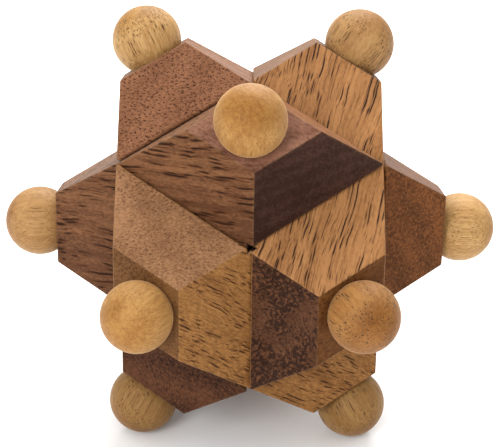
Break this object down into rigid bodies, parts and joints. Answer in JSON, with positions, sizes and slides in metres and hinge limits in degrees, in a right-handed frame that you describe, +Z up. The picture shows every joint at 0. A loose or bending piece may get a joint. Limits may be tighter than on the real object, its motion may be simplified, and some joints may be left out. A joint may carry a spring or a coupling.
{
  "type": "wooden burr puzzle",
  "caption": "Interlocking wooden burr puzzle: notched diagonal bars that cross into a star, with a round wooden ball on each point.",
  "frame": {"origin": "centre of the footprint, on the surface that the three lowest balls rest on", "axes": "+Z up, square to the plane of the three resting balls; +X to the right and -Y towards the viewer, with one ball pointing almost straight along +X and one along -X"},
  "size_m": [0.0946, 0.0838, 0.0796],
  "materials": {
    "wood_upper_left": "oiled, satin, open pores",
    "wood_lower_front": "oiled, satin, open pores",
    "wood_upper_right": "oiled, satin, open pores",
    "wood_lower_right": "oiled, satin, open pores",
    "wood_upper_rear": "oiled, satin, open pores",
    "wood_lower_left": "oiled, satin, open pores",
    "ball_wood": "oiled, satin, close grain",
    "dowel_wood": "plain, glued in"
  },
  "bodies": {
    "upper_left": {"bar_upper_left": "wood_upper_left", "ball_top_front": "ball_wood", "ball_middle_left": "ball_wood", "dowel_top_front": "dowel_wood", "dowel_middle_left": "dowel_wood"},
    "lower_front": {"bar_lower_front": "wood_lower_front", "ball_middle_front_left": "ball_wood", "ball_bottom_front_right": "ball_wood", "dowel_middle_front_left": "dowel_wood", "dowel_bottom_front_right": "dowel_wood"},
    "upper_right": {"bar_upper_right": "wood_upper_right", "ball_middle_front_right": "ball_wood", "ball_top_rear_right": "ball_wood", "dowel_middle_front_right": "dowel_wood", "dowel_top_rear_right": "dowel_wood"},
    "lower_right": {"bar_lower_right": "wood_lower_right", "ball_bottom_rear": "ball_wood", "ball_middle_right": "ball_wood", "dowel_bottom_rear": "dowel_wood", "dowel_middle_right": "dowel_wood"},
    "upper_rear": {"bar_upper_rear": "wood_upper_rear", "ball_middle_rear_right": "ball_wood", "ball_top_rear_left": "ball_wood", "dowel_middle_rear_right": "dowel_wood", "dowel_top_rear_left": "dowel_wood"},
    "lower_left": {"bar_lower_left": "wood_lower_left", "ball_middle_rear_left": "ball_wood", "ball_bottom_front_left": "ball_wood", "dowel_middle_rear_left": "dowel_wood", "dowel_bottom_front_left": "dowel_wood"}
  },
  "joints": [
    {"name": "front_half_slide", "type": "slide", "parent": "lower_left", "child": "lower_front", "axis": [0, -0.9428, 0.3333], "range_m": [0, 0.04]},
    {"name": "right_half_slide", "type": "slide", "parent": "lower_left", "child": "lower_right", "axis": [0.8165, 0.4714, 0.3333], "range_m": [0, 0.04]},
    {"name": "top_half_lift", "type": "slide", "parent": "lower_front", "child": "upper_left", "axis": [0, 0, 1], "range_m": [0, 0.04]},
    {"name": "top_half_lift_rear", "type": "slide", "parent": "lower_right", "child": "upper_rear", "axis": [0, 0, 1], "range_m": [0, 0.04]},
    {"name": "front_half_slide_right", "type": "slide", "parent": "upper_rear", "child": "upper_right", "axis": [0, -0.9428, 0.3333], "range_m": [0, 0.04]}
  ],
  "couplings": [
    {"joint": "top_half_lift_rear", "follows": "top_half_lift", "ratio": 1},
    {"joint": "front_half_slide_right", "follows": "front_half_slide", "ratio": 1}
  ]
}
